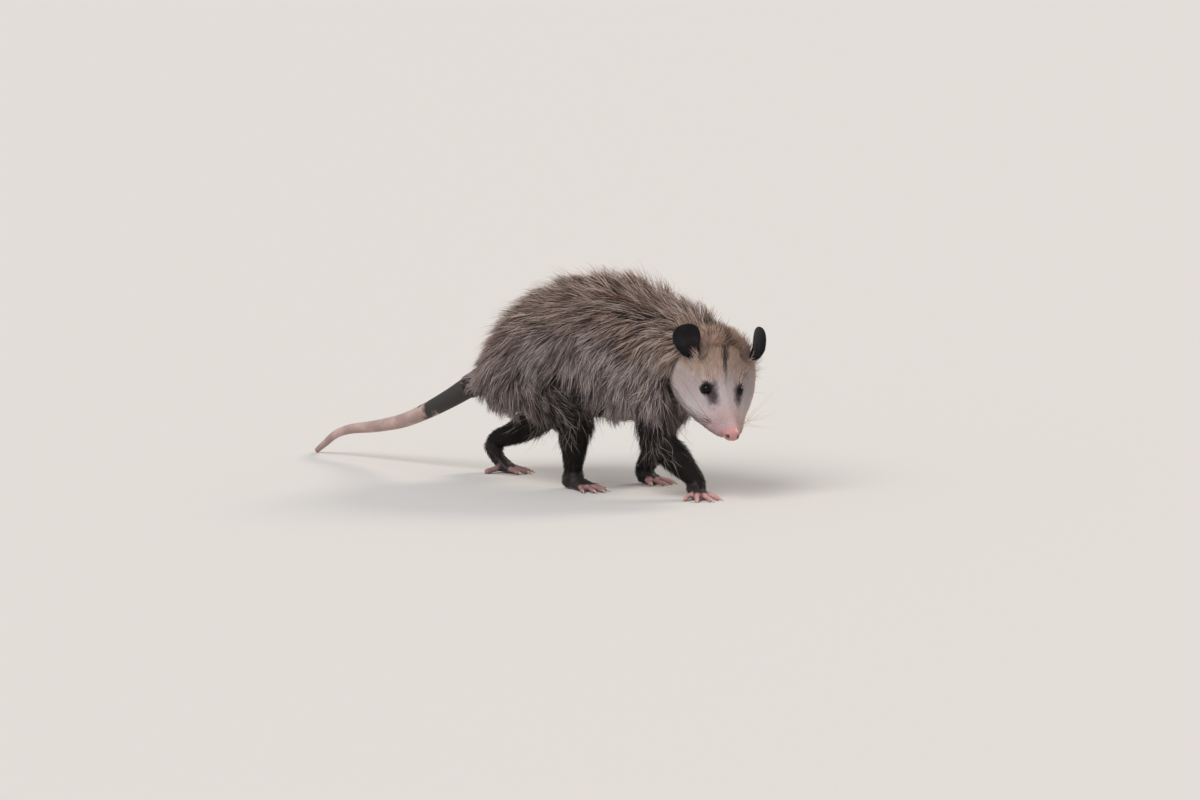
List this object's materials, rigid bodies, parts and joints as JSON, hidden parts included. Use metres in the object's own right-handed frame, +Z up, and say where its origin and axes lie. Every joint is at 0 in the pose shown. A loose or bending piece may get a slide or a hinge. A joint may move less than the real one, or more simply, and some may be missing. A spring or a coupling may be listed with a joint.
{
  "type": "opossum",
  "caption": "Life-size walking opossum with a shaggy grey coat, pale pointed face, naked black ears, pink nose and toes, and a long scaly tail whose tip rests on the floor.",
  "frame": {"origin": "centre of the bottom of the bounding box, on the floor the animal stands on", "axes": "+Z up; +X the way the animal walks, along its length from tail to head; +Y to its left"},
  "size_m": [0.607, 0.1544, 0.2373],
  "materials": {
    "coat": "coarse grizzled fur, matt",
    "face_fur": "short velvet fur, matt",
    "leg_fur": "short dark fur, matt",
    "pink_skin": "moist naked skin, satin",
    "eye": "wet black, glossy",
    "ear_skin": "thin naked skin, satin",
    "paw_skin": "naked skin, satin",
    "dark_scales": "fine scales, matt",
    "pale_scales": "fine scales, matt"
  },
  "bodies": {
    "root": {"torso": "coat", "neck": "coat", "head": "face_fur", "nose": "pink_skin", "eye_left": "eye", "eye_right": "eye", "ear_left": "ear_skin", "ear_right": "ear_skin", "foreleg_left": "leg_fur", "foreleg_right": "leg_fur", "hindleg_left": "leg_fur", "hindleg_right": "leg_fur", "forepaw_left": "paw_skin", "forepaw_right": "paw_skin", "hindpaw_left": "paw_skin", "hindpaw_right": "paw_skin", "tail_root": "dark_scales", "tail_upper": "pale_scales", "tail_middle": "pale_scales", "tail_tip": "pale_scales"}
  },
  "joints": []
}
